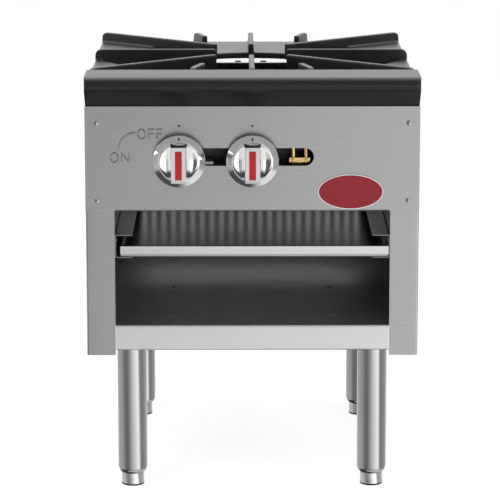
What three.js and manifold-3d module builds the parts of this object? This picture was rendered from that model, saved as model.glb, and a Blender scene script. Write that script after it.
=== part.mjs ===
// A floor-standing stock pot range: one cast grate over a two-ring gas burner, two control knobs,
// a drip tray on guides, an open shelf and four legs with screw-in feet.
// Millimetres, +Z up, +X to the right seen from the front, which faces -Y.

import * as THREE from 'three';
import { mergeVertices } from 'three/addons/utils/BufferGeometryUtils.js';
import Module from 'manifold-3d';

const wasm = await Module();
wasm.setup();

// ---------------------------------------------------------------- driving dimensions

// Body. Depths are measured back from the control panel's face, heights up from the floor.
const bodyWidth = 457.2;
const bodyDepth = 508;
const bodyBottom = 202; // lower edge of the side panels
const bodyTop = 566.7; // top flanges, which carry the grate
const sheet = 1.5;
const bendRadius = 2; // at the middle of the sheet
const stileWidth = 39.6;
const flangeWidth = 18;
const seat = 0.3; // gap between two pieces that rest on or are fixed to each other

// Front rail.
const railDrop = 16.5; // from the body's top down to the rail's lower edge
const railHeight = 43.1;
const railNose = 33; // how far the nose stands in front of the control panel
const railRear = 52;
const railNoseRadius = 11;
const railSheet = 2;
const railSideInset = 1.1;
const railCornerRadius = 5;

// Control panel.
const controlPanelHeight = 144.7;
const slotLeft = -112;
const slotRight = 84;
const slotHeight = 24.5;
const slotAbovePanelBottom = 75; // middle of the slot
const panelScrewInset = 15.6; // from the side of the body
const panelScrewLow = 14.8; // above the panel's lower edge
const panelScrewHigh = 121.6;

// Knobs and valves.
const knobSpacing = 100;
const rightKnobX = 0;
const knobAbovePanelBottom = 71;
const knobRadius = 36;
const knobPanelGap = 11;
const knobSkirtEdge = 2;
const knobSkirtDepth = 5.6;
const knobDishRadius = 28;
const knobDishRecess = 1;
const knobFace = 50; // grip's face in front of the control panel
const gripRoot = { width: 25.6, length: 51.6 };
const gripShoulder = { width: 20.8, length: 49.2 };
const gripFace = { width: 19.4, length: 40.4 };
const gripSlant = 1.6; // from the shoulder to the face
const gripLayer = 0.1; // thickness of the layers that the grip is spanned over
const insertWidth = 8.9;
const insertLength = 38.8;
const insertDepth = 1.2;
const stemRadius = 4;
const stemRunning = 0.15; // radial gap of the stem in its valve
const stemGrip = 22; // how far the stem goes into the knob and into the valve
const valveRadius = 12;
const valveNeckRadius = 9;
const valveNeck = 4; // length of the narrower necks at the body's two ends
const valveFront = 8;
const valveRear = 50;
const valveStubRadius = 6; // joins the valve to the manifold
const hoodRadius = 6;
const hoodLength = 30;
const hoodTipRadius = 3;
const hoodTipLength = 5;

// Oval badge plate.
const badgeX = 134.3;
const badgeAbovePanelBottom = 26.7;
const badgeWidth = 90.5;
const badgeHeight = 49.5;
const badgeDepth = 1.2;

// Gas pipes.
const manifoldRadius = 13.35;
const manifoldY = 36;
const manifoldBelowKnobs = 31.2;
const manifoldLeft = -140;
const pipeWall = 2.9;
const elbowRadius = 17;
const inletProjection = 20; // behind the back panel
const hexAllowance = 3.4; // how much wider than the pipe the inlet's hexagon is
const hexLength = 16;
const clampWidth = 12.7;
const clampsX = [-60, 118];
const clampBelow = 5; // wall of a clamp under the pipe
const clampAbove = 12.6;
const clampFront = 7;

// Pilot valve, tubes and heads.
const pilotX = 64.8;
const pilotSpacing = 17.8;
const pilotBarY = [12, 24];
const pilotBarHeight = 7;
const pilotBarAbovePipe = 12;
const pilotBarEnd = 5.5; // bar beyond each nut's axis
const pilotNutRadius = 3.4;
const pilotNutRise = 6; // nuts above the slot's upper edge, where the pilot tubes begin
const pilotScrewRadius = 1.9;
const pilotStubRadius = 5;
const pilotTubeRadius = 2.4;
const pilotHoleClearance = 1.2; // around each pilot tube in the baffle

// Burner box.
const baffleY = 56;
const vent = { count: 23, pitch: 15, width: 7, aboveGuides: 0.8, height: 55 };
const crossMemberDrop = 15.7; // rear cross member below the body's top
const crossMemberDepth = 59;
const crossSlot = { x: 19.2, width: 9.6, length: 19, y: 13.6, corner: 4.5 }; // y is from the member's front

// Burners.
const burnerTopDrop = 36; // below the body's top
const ringHeight = 24;
const ringWidth = 22;
const outerRingRadius = 92;
const innerRingRadius = 42;
const restWidth = 25;
const restThickness = 3;
const restOffset = 70; // front and rear of the burner's centre
const mixerRadius = 13;
const mixerWall = 2.5;
const shutterRadius = 20;

// Tray guides and drip tray.
const guideBelowPanel = 34; // top of the guides below the control panel's lower edge
const guideHeight = 32.5;
const guideFlange = 24.3;
const guideFront = 5;
const guideRear = 470;
const trayPlay = 6.1; // free width at the tray's left, where it rests against the right guide
const trayDepth = 430;
const trayHeight = 15;
const traySheet = 1.2;
const trayLipHeight = 10.8;
const trayLipReach = 6;

// Shelf and legs.
const shelfAboveBottom = 42.5; // shelf's top above the side panels' lower edge
const shelfLipHeight = 35.6;
const legX = 169;
const legFrontY = 65;
const legRearInset = 53; // rear legs' axes in front of the back
const legRadius = 20.65;
const legWall = 1.5;
const legPlate = 70;
const channelInner = 105;
const channelOuter = 208;
const channelSheet = 2.5;
const channelDepth = 26;
const footRadius = 15.85;
const footHeight = 18;
const footStemRadius = 6;
const footStemLength = 52;

// Grate.
const grateFront = 86;
const grateInset = 0.6; // from the body's sides
const grateRearInset = 2;
const platePart = 9;
const grateHeight = 23.8;
const ribThickness = 8;
const ribEndInset = 2;
const ribEndRadius = 9;
const holeRadius = 123; // the closed rear part ends in this arc
const holeCentre = -46; // the arc's centre, in front of the grate's
const frontReach = 146; // front opening and side openings, measured from the grate's centre
const sideOpening = { x: 222, y: 139 };
const diagonalInner = [52, 60];
const lugOuter = [84, 206];
const lugInner = [69, 155];

// ---------------------------------------------------------------- what follows from them

const halfBody = bodyWidth / 2;
const openingHalf = halfBody - stileWidth;
const wallInner = halfBody - sheet;
const stileFront = sheet + seat;
const backInner = bodyDepth - sheet;
const railBottom = bodyTop - railDrop;
const railTop = railBottom + railHeight;
const panelTop = railBottom - seat;
const panelBottom = panelTop - controlPanelHeight;
const slotZ = panelBottom + slotAbovePanelBottom;
const knobZ = panelBottom + knobAbovePanelBottom;
const knobsX = { left: rightKnobX - knobSpacing, right: rightKnobX };
const manifoldZ = knobZ - manifoldBelowKnobs;
const manifoldTop = manifoldZ + manifoldRadius;
const guideTop = panelBottom - guideBelowPanel;
const guideBottom = guideTop - guideHeight;
const guideOuter = openingHalf;
const guideInner = guideOuter - sheet;
const linerInner = guideOuter + seat;
const supplyX = (linerInner + sheet + wallInner) / 2;
const shelfTop = bodyBottom + shelfAboveBottom;
const legTop = shelfTop - sheet - channelSheet - 2 * seat;
const legsY = { front: legFrontY, rear: bodyDepth - legRearInset };
const grateBottom = bodyTop + seat;
const grateHalfX = halfBody - grateInset;
const grateHalfY = (bodyDepth - grateRearInset - grateFront) / 2;
const burnerY = grateFront + grateHalfY;
const ringTop = bodyTop - burnerTopDrop;
const ringBottom = ringTop - ringHeight;
const restTop = ringBottom - seat;
const crossMemberTop = bodyTop - crossMemberDrop;
const shutterY = baffleY + sheet + 17;
const mixerMouth = shutterY + 2 + seat;
const sides = { left: -1, right: 1 };

// ---------------------------------------------------------------- solids

function toSolid(geometry) {
  const bare = geometry.clone();
  bare.deleteAttribute('normal');
  bare.deleteAttribute('uv');
  const merged = mergeVertices(bare, 1e-4);
  // Rounded to a micrometre, so that faces meant to lie in one plane do.
  const corners = merged.attributes.position.array.map((value) => Math.round(value * 1000) / 1000);
  const at = (i) => new THREE.Vector3().fromArray(corners, 3 * i);
  const triangles = [];
  let volume = 0;
  for (let i = 0; i < merged.index.count; i += 3) {
    const [a, b, c] = merged.index.array.slice(i, i + 3);
    if (a === b || b === c || c === a) continue;
    volume += at(a).dot(at(b).cross(at(c)));
    triangles.push([a, b, c]);
  }
  const facingOut = triangles.flatMap(([a, b, c]) => (volume < 0 ? [a, c, b] : [a, b, c]));
  return new wasm.Manifold(new wasm.Mesh({
    numProp: 3,
    vertProperties: Float32Array.from(corners),
    triVerts: Uint32Array.from(facingOut),
  }));
}

function joined(solids) {
  return solids.reduce((all, next) => all.add(next));
}

function box(x, y, z) {
  const spans = [x, y, z].map(([a, b]) => [Math.min(a, b), Math.max(a, b)]);
  const [width, depth, height] = spans.map(([low, high]) => high - low);
  const middle = spans.map(([low, high]) => (low + high) / 2);
  return toSolid(new THREE.BoxGeometry(width, depth, height).translate(...middle));
}

// An outline extruded along one axis. Its own first and second axes are Y, Z for X; X, Z for Y; X, Y for Z.
function alongX(shape, [x0, x1], curveSegments = 8) {
  const settings = { depth: x1 - x0, bevelEnabled: false, curveSegments };
  const turn = new THREE.Matrix4().makeBasis(
    new THREE.Vector3(0, 1, 0),
    new THREE.Vector3(0, 0, 1),
    new THREE.Vector3(1, 0, 0),
  );
  return toSolid(new THREE.ExtrudeGeometry(shape, settings).applyMatrix4(turn).translate(x0, 0, 0));
}

function alongY(shape, [y0, y1], curveSegments = 8) {
  const settings = { depth: y1 - y0, bevelEnabled: false, curveSegments };
  return toSolid(new THREE.ExtrudeGeometry(shape, settings).rotateX(Math.PI / 2).translate(0, y1, 0));
}

function alongZ(shape, [z0, z1], curveSegments = 8) {
  const settings = { depth: z1 - z0, bevelEnabled: false, curveSegments };
  return toSolid(new THREE.ExtrudeGeometry(shape, settings).translate(0, 0, z0));
}

// A solid of revolution. Its profile is a list of [radius, distance along the axis].
function turned(profile, axis, segments = 24) {
  const points = profile.map(([radius, distance]) => new THREE.Vector2(radius, distance));
  const geometry = new THREE.LatheGeometry(points, segments);
  if (axis === 'z') geometry.rotateX(Math.PI / 2);
  if (axis === 'x') geometry.rotateZ(-Math.PI / 2);
  return toSolid(geometry);
}

function rod(radius, [from, to], axis, segments = 24) {
  return turned([[0, from], [radius, from], [radius, to], [0, to]], axis, segments);
}

function pipe(outer, inner, [from, to], axis, segments = 24) {
  return turned([[inner, from], [outer, from], [outer, to], [inner, to], [inner, from]], axis, segments);
}

// Outline of a folded sheet: the path runs along the middle of its thickness, and each corner of it is a bend.
function foldedSheet(path, thickness, radius) {
  const points = path.map(([a, b]) => new THREE.Vector2(a, b));
  const half = thickness / 2;
  const left = [];
  const right = [];
  points.forEach((point, i) => {
    const before = i > 0 ? point.clone().sub(points[i - 1]).normalize() : null;
    const after = i < points.length - 1 ? points[i + 1].clone().sub(point).normalize() : null;
    if (!before || !after) {
      const along = before ?? after;
      const across = new THREE.Vector2(-along.y, along.x).multiplyScalar(half);
      left.push(point.clone().add(across));
      right.push(point.clone().sub(across));
      return;
    }
    const turn = Math.atan2(before.cross(after), before.dot(after));
    const way = Math.sign(turn);
    const inward = new THREE.Vector2(-before.y, before.x).multiplyScalar(way);
    const setback = radius * Math.tan(Math.abs(turn) / 2);
    const centre = point.clone().addScaledVector(before, -setback).addScaledVector(inward, radius);
    const steps = 4;
    for (let k = 0; k <= steps; k += 1) {
      const outward = inward.clone().negate().rotateAround(new THREE.Vector2(), (turn * k) / steps);
      left.push(centre.clone().addScaledVector(outward, radius - way * half));
      right.push(centre.clone().addScaledVector(outward, radius + way * half));
    }
  });
  return new THREE.Shape([...left, ...right.reverse()]);
}

function tubeAlong(points, outer, inner, facets, steps) {
  const curve = new THREE.CatmullRomCurve3(points.map((p) => new THREE.Vector3(...p)));
  const section = new THREE.Shape().absarc(0, 0, outer, 0, 2 * Math.PI);
  if (inner > 0) section.holes.push(new THREE.Path().absarc(0, 0, inner, 0, 2 * Math.PI));
  const settings = { steps, extrudePath: curve, curveSegments: facets / 2, bevelEnabled: false };
  return toSolid(new THREE.ExtrudeGeometry(section, settings));
}

function slotShape(x0, x1, z0, z1) {
  const width = x1 - x0;
  const height = z1 - z0;
  const radius = Math.min(width, height) / 2;
  const shape = new THREE.Shape();
  if (width > height) {
    shape.absarc(x1 - radius, z0 + radius, radius, -Math.PI / 2, Math.PI / 2);
    shape.absarc(x0 + radius, z0 + radius, radius, Math.PI / 2, 1.5 * Math.PI);
  } else {
    shape.absarc(x0 + radius, z1 - radius, radius, 0, Math.PI);
    shape.absarc(x0 + radius, z0 + radius, radius, Math.PI, 2 * Math.PI);
  }
  return shape;
}

function roundedRectangle(x0, x1, y0, y1, radius) {
  const shape = new THREE.Shape();
  shape.absarc(x1 - radius, y0 + radius, radius, -Math.PI / 2, 0);
  shape.absarc(x1 - radius, y1 - radius, radius, 0, Math.PI / 2);
  shape.absarc(x0 + radius, y1 - radius, radius, Math.PI / 2, Math.PI);
  shape.absarc(x0 + radius, y0 + radius, radius, Math.PI, 1.5 * Math.PI);
  return shape;
}

// ---------------------------------------------------------------- finishes

function finish(color, metalness, roughness) {
  return new THREE.MeshStandardMaterial({ color, metalness, roughness });
}

const stainless = finish(0xb4b6b8, 0.9, 0.35);
const mirrorSteel = finish(0x8d9091, 0.95, 0.15);
const darkSheet = finish(0x3c403f, 0.6, 0.45);
const castIron = finish(0x1d1d1e, 0.3, 0.6);
const blackEnamel = finish(0x2b2b2c, 0.2, 0.4);
const chrome = finish(0xd6d8da, 1, 0.1);
const brass = finish(0xb8893f, 1, 0.3);
const blackPipe = finish(0x191919, 0.3, 0.6);
const aluminium = finish(0xa8abad, 0.9, 0.4);
const redPlastic = finish(0xb0343c, 0, 0.35);
const footSteel = finish(0x8f9193, 0.9, 0.4);

// ---------------------------------------------------------------- assembly

const range = new THREE.Group();
const frontMost = -knobFace;
const rearMost = bodyDepth + inletProjection;
range.position.y = -(frontMost + rearMost) / 2;

function addPart(name, material, solid, position = [0, 0, 0]) {
  const { vertProperties, triVerts } = solid.getMesh();
  const geometry = new THREE.BufferGeometry();
  geometry.setAttribute('position', new THREE.BufferAttribute(Float32Array.from(vertProperties), 3));
  geometry.setIndex(new THREE.BufferAttribute(Uint32Array.from(triVerts), 1));
  geometry.computeVertexNormals();
  const mesh = new THREE.Mesh(geometry, material);
  mesh.name = name;
  mesh.position.set(...position);
  range.add(mesh);
}

// ---------------------------------------------------------------- body shell

const screwHoleRadius = 2.5;
const rearFlangeY = backInner - seat - sheet / 2;
const notchRear = railRear + 1;

function panelScrewPlaces() {
  const x = halfBody - panelScrewInset;
  const heights = [panelBottom + panelScrewLow, panelBottom + panelScrewHigh];
  return [-x, x].flatMap((px) => heights.map((z) => [px, z]));
}

function screwHoles(y) {
  return joined(panelScrewPlaces().map(([x, z]) => rod(screwHoleRadius, y, 'y', 12).translate([x, 0, z])));
}

function sidePanel(side) {
  const middle = sheet / 2;
  const folded = foldedSheet([
    [side * openingHalf, stileFront + middle],
    [side * (halfBody - middle), stileFront + middle],
    [side * (halfBody - middle), rearFlangeY],
    [side * (halfBody - flangeWidth), rearFlangeY],
  ], sheet, bendRadius);
  const wall = alongZ(folded, [bodyBottom, bodyTop]);
  const inner = side * (wallInner + middle);
  const topFlange = box(
    [side * openingHalf, inner],
    [notchRear, rearFlangeY],
    [bodyTop - sheet, bodyTop],
  );
  const bottomFlange = box(
    [side * (wallInner - flangeWidth), inner],
    [stileFront + middle, rearFlangeY],
    [bodyBottom, bodyBottom + sheet],
  );
  const railNotch = box([side * (openingHalf - 1), side * (halfBody + 1)], [0, notchRear], [panelTop, bodyTop + 1]);
  const supplyHole = rod(manifoldRadius + 1, [backInner - 10, backInner], 'y').translate([supplyX, 0, manifoldZ]);
  return joined([wall, topFlange, bottomFlange])
    .subtract(railNotch)
    .subtract(screwHoles([0, stileFront + 2 * sheet]))
    .subtract(supplyHole);
}

for (const [name, side] of Object.entries(sides)) addPart(`${name}_side_panel`, stainless, sidePanel(side));

function backPanel() {
  // It ends at the rear cross member, which leaves a flue gap under the grate.
  const plate = box([-halfBody, halfBody], [backInner, bodyDepth], [bodyBottom, crossMemberTop]);
  const ventBottom = guideTop + vent.aboveGuides;
  const slots = Array.from({ length: vent.count }, (_, i) => {
    const x = (i - (vent.count - 1) / 2) * vent.pitch;
    const outline = slotShape(x - vent.width / 2, x + vent.width / 2, ventBottom, ventBottom + vent.height);
    return alongY(outline, [backInner - 1, bodyDepth + 1], 3);
  });
  const supplyHole = rod(manifoldRadius + 2 * seat, [backInner - 1, bodyDepth + 1], 'y')
    .translate([supplyX, 0, manifoldZ]);
  return plate.subtract(joined(slots)).subtract(supplyHole);
}

addPart('back_panel', stainless, backPanel());

function controlPanel() {
  const middle = sheet / 2;
  const face = box([-halfBody, halfBody], [0, sheet], [panelBottom, panelTop]);
  // The lower edge turns back between the stiles; the upper edge is flat behind the rail.
  const flangeHalf = openingHalf - 2;
  const flanged = alongX(foldedSheet([
    [flangeWidth, panelBottom + middle],
    [middle, panelBottom + middle],
    [middle, panelTop],
  ], sheet, bendRadius), [-flangeHalf, flangeHalf]);
  const trimmed = face.subtract(box(
    [-flangeHalf, flangeHalf],
    [-1, sheet + 1],
    [panelBottom - 1, panelBottom + bendRadius + 1],
  ));
  const slot = alongY(
    slotShape(slotLeft, slotRight, slotZ - slotHeight / 2, slotZ + slotHeight / 2),
    [-1, sheet + 1],
  );
  return trimmed.add(flanged).subtract(slot).subtract(screwHoles([-1, sheet + 1]));
}

addPart('control_panel', stainless, controlPanel());

function panelScrew() {
  const shankRadius = screwHoleRadius - seat;
  const headRadius = 3.6;
  return turned([
    [0, stileFront + sheet + 6],
    [shankRadius, stileFront + sheet + 6],
    [shankRadius, -seat],
    [headRadius, -seat],
    [headRadius, -seat - 0.9],
    [headRadius - 1.2, -seat - 1.6],
    [0, -seat - 1.6],
  ], 'y', 16);
}

panelScrewPlaces().forEach(([x, z], i) => {
  addPart(`panel_screw_${i + 1}`, stainless, panelScrew(), [x, 0, z]);
});

function badge() {
  const outline = new THREE.Shape().absellipse(0, 0, badgeWidth / 2, badgeHeight / 2, 0, 2 * Math.PI);
  return alongY(outline, [-seat - badgeDepth, -seat], 20);
}

addPart('badge', redPlastic, badge(), [badgeX, 0, panelBottom + badgeAbovePanelBottom]);

// ---------------------------------------------------------------- front rail

function railOutline(inset) {
  const radius = railNoseRadius - inset;
  const centreY = -railNose + railNoseRadius;
  const centreZ = railTop - railNoseRadius;
  const foot = new THREE.Vector2(0.5 + inset, railBottom + inset);
  // The lower face leaves the nose where a line from the foot touches it.
  const reach = foot.distanceTo(new THREE.Vector2(centreY, centreZ));
  const toCentre = Math.atan2(centreZ - foot.y, centreY - foot.x);
  const tangent = toCentre + Math.asin(radius / reach) + Math.PI / 2;
  const shape = new THREE.Shape();
  shape.moveTo(railRear - inset, railBottom + inset);
  shape.lineTo(railRear - inset, railTop - inset);
  shape.absarc(centreY, centreZ, radius, Math.PI / 2, tangent - 0.01);
  shape.lineTo(foot.x, foot.y);
  return shape;
}

function frontRail() {
  const half = halfBody - railSideInset;
  const outer = alongX(railOutline(0), [-half, half]);
  const hollow = alongX(railOutline(railSheet), [-half + railSheet, half - railSheet]);
  const openBottom = box(
    [-half + railSheet, half - railSheet],
    [flangeWidth, railRear - railSheet],
    [railBottom - 1, railBottom + 2 * railSheet],
  );
  const plan = roundedRectangle(-half, half, -railNose - 1, railRear, railCornerRadius);
  const rounded = alongZ(plan, [railBottom - 1, railTop + 1], 4);
  return outer.intersect(rounded).subtract(hollow).subtract(openBottom);
}

addPart('front_rail', blackEnamel, frontRail());

// ---------------------------------------------------------------- burner box

const notchTop = manifoldZ - manifoldRadius - 6; // liners step back above this, clear of the pipes
const linerTop = bodyTop - sheet - seat;

function boxLiner(side) {
  const inner = side * linerInner;
  const outer = side * (linerInner + sheet);
  const low = box([inner, outer], [guideFront + 1, backInner - 2 * seat], [guideBottom + 6, notchTop]);
  const high = box([inner, outer], [baffleY + 2, backInner - 2 * seat], [notchTop - 1, linerTop]);
  const flange = box([inner, side * (wallInner - 12)], [baffleY + 2, backInner - 2 * sheet], [linerTop - sheet, linerTop]);
  return joined([low, high, flange]).subtract(rivetHole(side));
}

const rivetRadius = 2;
const rivetY = 14;
const rivetZ = guideTop - 8.5;

function rivetHole(side) {
  const span = [side * (guideInner - 2), side * (linerInner + sheet + 2)].sort((a, b) => a - b);
  return rod(rivetRadius + seat, span, 'x', 12).translate([0, rivetY, rivetZ]);
}

function guideRivet(side) {
  const inner = guideInner - seat;
  const outer = linerInner + sheet + seat;
  const head = 3.4;
  const profile = [
    [0, inner - 1.5],
    [head - 1.2, inner - 1.5],
    [head, inner - 0.5],
    [head, inner],
    [rivetRadius, inner],
    [rivetRadius, outer],
    [head, outer],
    [head, outer + 1],
    [0, outer + 1],
  ];
  return turned(profile.map(([r, x]) => [r, side * x]), 'x', 12);
}

function trayGuide(side) {
  const middle = sheet / 2;
  const edge = side * (guideOuter - guideFlange);
  const web = side * (guideOuter - middle);
  const outline = foldedSheet([
    [edge, guideBottom + middle],
    [web, guideBottom + middle],
    [web, guideTop - middle],
    [edge, guideTop - middle],
  ], sheet, bendRadius);
  return alongY(outline, [guideFront, guideRear]).subtract(rivetHole(side));
}

for (const [name, side] of Object.entries(sides)) {
  addPart(`${name}_box_liner`, stainless, boxLiner(side));
  addPart(`${name}_tray_guide`, stainless, trayGuide(side));
  addPart(`${name}_guide_rivet`, stainless, guideRivet(side), [0, rivetY, rivetZ]);
}

const baffleBottom = panelBottom + 10;
const pilotTubesX = [pilotX - pilotSpacing / 2, pilotX + pilotSpacing / 2];
const pilotTubeZ = slotZ + 40;

function frontBaffle() {
  const middle = sheet / 2;
  const half = linerInner - seat;
  const outline = foldedSheet([
    [baffleY + middle, baffleBottom],
    [baffleY + middle, bodyTop - middle],
    [grateFront + flangeWidth, bodyTop - middle],
  ], sheet, bendRadius);
  const holes = [
    ...Object.values(knobsX).map((x) => [x, knobZ, hoodRadius + 2]),
    ...pilotTubesX.map((x) => [x, pilotTubeZ, pilotTubeRadius + pilotHoleClearance]),
  ];
  const cut = holes.map(([x, z, radius]) => (
    rod(radius, [baffleY - 1, baffleY + sheet + 1], 'y', 16).translate([x, 0, z])
  ));
  // The flange stays between the side panels' top flanges.
  const flangeEnds = [-1, 1].map((side) => box(
    [side * (openingHalf - seat), side * (half + 1)],
    [baffleY - 1, grateFront + flangeWidth + 1],
    [linerTop - sheet - seat, bodyTop + 1],
  ));
  return alongX(outline, [-half, half]).subtract(joined([...cut, ...flangeEnds]));
}

addPart('front_baffle', darkSheet, frontBaffle());

function rearCrossMember() {
  const middle = sheet / 2;
  const half = linerInner - seat;
  const rear = backInner - seat - middle;
  const front = backInner - crossMemberDepth;
  const outline = foldedSheet([
    [front, crossMemberTop - middle],
    [rear, crossMemberTop - middle],
    [rear, crossMemberTop - flangeWidth],
  ], sheet, bendRadius);
  const slots = [-1, 1].map((side) => alongZ(roundedRectangle(
    side * crossSlot.x - crossSlot.width / 2,
    side * crossSlot.x + crossSlot.width / 2,
    front + crossSlot.y - crossSlot.length / 2,
    front + crossSlot.y + crossSlot.length / 2,
    crossSlot.corner,
  ), [crossMemberTop - 2 * sheet, crossMemberTop + 1]));
  return alongX(outline, [-half, half]).subtract(joined(slots));
}

addPart('rear_cross_member', stainless, rearCrossMember());

// ---------------------------------------------------------------- burners

const restsY = { front: burnerY - restOffset, rear: burnerY + restOffset };

for (const [name, y] of Object.entries(restsY)) {
  const half = linerInner - seat;
  const bar = box([-half, half], [y - restWidth / 2, y + restWidth / 2], [restTop - restThickness, restTop]);
  addPart(`${name}_burner_rest`, darkSheet, bar);
}

function ringSection(radius) {
  const half = ringWidth / 2;
  const chamfer = 5;
  return [
    [radius - half, ringBottom],
    [radius + half, ringBottom],
    [radius + half, ringTop - chamfer],
    [radius + half - chamfer, ringTop],
    [radius - half + chamfer, ringTop],
    [radius - half, ringTop - chamfer],
    [radius - half, ringBottom],
  ];
}

addPart('outer_ring_burner', castIron, turned(ringSection(outerRingRadius), 'z', 32), [0, burnerY, 0]);

function innerRingBurner() {
  const ring = turned(ringSection(innerRingRadius), 'z', 24);
  const reach = outerRingRadius - ringWidth / 2 - 4;
  const arms = [-1, 1].map((way) => (
    box([-8, 8], [way * innerRingRadius, way * reach], [ringBottom, ringBottom + 10])
  ));
  return joined([ring, ...arms]);
}

addPart('inner_ring_burner', castIron, innerRingBurner(), [0, burnerY, 0]);

function mixerTube(x, ringX, ringY) {
  const curve = tubeAlong([
    [x, mixerMouth, knobZ],
    [x, mixerMouth + 40, knobZ],
    [(x + ringX) / 2, (mixerMouth + ringY) / 2 + 10, knobZ - 2],
    [ringX, ringY - 22, knobZ + 3],
    [ringX, ringY, ringBottom - 14],
    [ringX, ringY, ringBottom - seat],
  ], mixerRadius, mixerRadius - mixerWall, 12, 12);
  const level = box([x - 60, x + 60], [0, bodyDepth], [knobZ - 40, ringBottom - seat]);
  const mouth = pipe(shutterRadius, mixerRadius - mixerWall, [mixerMouth, mixerMouth + 3], 'y', 24);
  return curve.intersect(level).add(mouth.translate([x, 0, knobZ]));
}

addPart('outer_mixer_tube', castIron, mixerTube(knobsX.left, -outerRingRadius, burnerY));
addPart('inner_mixer_tube', castIron, mixerTube(knobsX.right, 0, burnerY - innerRingRadius));

function airShutter() {
  const disc = pipe(shutterRadius, hoodRadius + seat, [0, 2], 'y', 20);
  const window = new THREE.Shape();
  window.absarc(0, 0, shutterRadius - 3, Math.PI / 4, 0.75 * Math.PI);
  window.absarc(0, 0, hoodRadius + 3, 0.75 * Math.PI, Math.PI / 4, true);
  const windows = [0, 180].map((turn) => alongY(window, [-1, 3], 4).rotate([0, turn, 0]));
  return disc.subtract(joined(windows));
}

for (const [name, x] of Object.entries(knobsX)) {
  addPart(`${name}_air_shutter`, stainless, airShutter(), [x, shutterY, knobZ]);
}

// ---------------------------------------------------------------- gas train

function gasValve() {
  const bore = stemRadius + stemRunning;
  const boreEnd = valveFront + stemGrip + 2;
  const hoodTip = valveRear + hoodLength;
  const body = turned([
    [bore, valveFront],
    [valveNeckRadius, valveFront],
    [valveNeckRadius, valveFront + valveNeck],
    [valveRadius, valveFront + valveNeck],
    [valveRadius, valveRear - valveNeck],
    [valveNeckRadius, valveRear - valveNeck],
    [valveNeckRadius, valveRear],
    [hoodRadius, valveRear],
    [hoodRadius, hoodTip - hoodTipLength],
    [hoodTipRadius, hoodTip],
    [0, hoodTip],
    [0, boreEnd],
    [bore, boreEnd],
    [bore, valveFront],
  ], 'y');
  const stub = rod(valveStubRadius, [manifoldTop + seat - knobZ, -valveRadius / 2], 'z', 16)
    .translate([0, manifoldY, 0]);
  return body.add(stub.subtract(rod(bore + 1, [0, boreEnd], 'y', 16)));
}

function valveStem() {
  return rod(stemRadius, [-knobPanelGap - stemGrip, valveFront + stemGrip], 'y');
}

function knob() {
  const back = -knobPanelGap;
  const skirtFront = back - knobSkirtEdge - knobSkirtDepth;
  const dish = skirtFront + knobDishRecess;
  const skirt = turned([
    [0, back],
    [knobRadius, back],
    [knobRadius, back - knobSkirtEdge],
    [knobDishRadius, skirtFront],
    [knobDishRadius - 1, dish],
    [0, dish],
  ], 'y', 48);
  // The grip narrows from its root to its shoulder, and its ends slant from there to its face.
  const layer = ({ width, length }, y) => box([-width / 2, width / 2], [y, y + gripLayer], [-length / 2, length / 2]);
  const grip = joined([
    layer(gripRoot, dish + 1),
    layer(gripShoulder, -knobFace + gripSlant),
    layer(gripFace, -knobFace),
  ]).hull();
  const recess = box(
    [-insertWidth / 2 - seat, insertWidth / 2 + seat],
    [-knobFace - 1, -knobFace + insertDepth + seat],
    [-insertLength / 2 - seat, insertLength / 2 + seat],
  );
  const bore = rod(stemRadius + seat, [back - stemGrip - seat, back + 1], 'y');
  return skirt.add(grip).subtract(recess).subtract(bore);
}

function knobInsert() {
  return box(
    [-insertWidth / 2, insertWidth / 2],
    [-knobFace, -knobFace + insertDepth],
    [-insertLength / 2, insertLength / 2],
  );
}

for (const [name, x] of Object.entries(knobsX)) {
  addPart(`${name}_gas_valve`, brass, gasValve(), [x, 0, knobZ]);
  addPart(`${name}_valve_stem`, chrome, valveStem(), [x, 0, knobZ]);
  addPart(`${name}_knob`, chrome, knob(), [x, 0, knobZ]);
  addPart(`${name}_knob_insert`, redPlastic, knobInsert(), [x, 0, knobZ]);
}

const manifoldRight = supplyX - elbowRadius - 1;

function manifold() {
  const tube = pipe(manifoldRadius, manifoldRadius - pipeWall, [manifoldLeft, manifoldRight], 'x', 24);
  const cap = rod(manifoldRadius + 2, [manifoldLeft - 8, manifoldLeft + 12], 'x', 8)
    .subtract(rod(manifoldRadius - pipeWall, [manifoldLeft, manifoldLeft + 13], 'x', 24));
  return tube.add(cap);
}

addPart('manifold', blackPipe, manifold(), [0, manifoldY, manifoldZ]);

const supplyFront = elbowRadius + 4;
const inletFront = backInner - manifoldY - 26;

function supplyElbow() {
  const inner = manifoldRadius - pipeWall;
  const toManifold = manifoldRight + seat - supplyX;
  const outside = joined([
    rod(elbowRadius, [toManifold, 0], 'x', 24),
    rod(elbowRadius, [0, supplyFront - seat], 'y', 24),
    toSolid(new THREE.SphereGeometry(elbowRadius, 16, 8)),
  ]);
  const bores = rod(inner, [toManifold - 1, 0], 'x', 24).add(rod(inner, [0, supplyFront], 'y', 24));
  return outside.subtract(bores);
}

function supplyPipe() {
  return pipe(manifoldRadius, manifoldRadius - pipeWall, [supplyFront, inletFront - seat], 'y', 24);
}

function gasInlet() {
  const inner = manifoldRadius - pipeWall;
  const end = rearMost - manifoldY;
  const nipple = pipe(manifoldRadius, inner, [inletFront, end], 'y', 24);
  const hex = pipe(manifoldRadius + hexAllowance, inner, [inletFront, inletFront + hexLength], 'y', 6);
  return nipple.add(hex.subtract(rod(inner, [inletFront - 1, inletFront + hexLength + 1], 'y', 24)));
}

addPart('supply_elbow', blackPipe, supplyElbow(), [supplyX, manifoldY, manifoldZ]);
addPart('supply_pipe', blackPipe, supplyPipe(), [supplyX, manifoldY, manifoldZ]);
addPart('gas_inlet', brass, gasInlet(), [supplyX, manifoldY, manifoldZ]);

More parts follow.
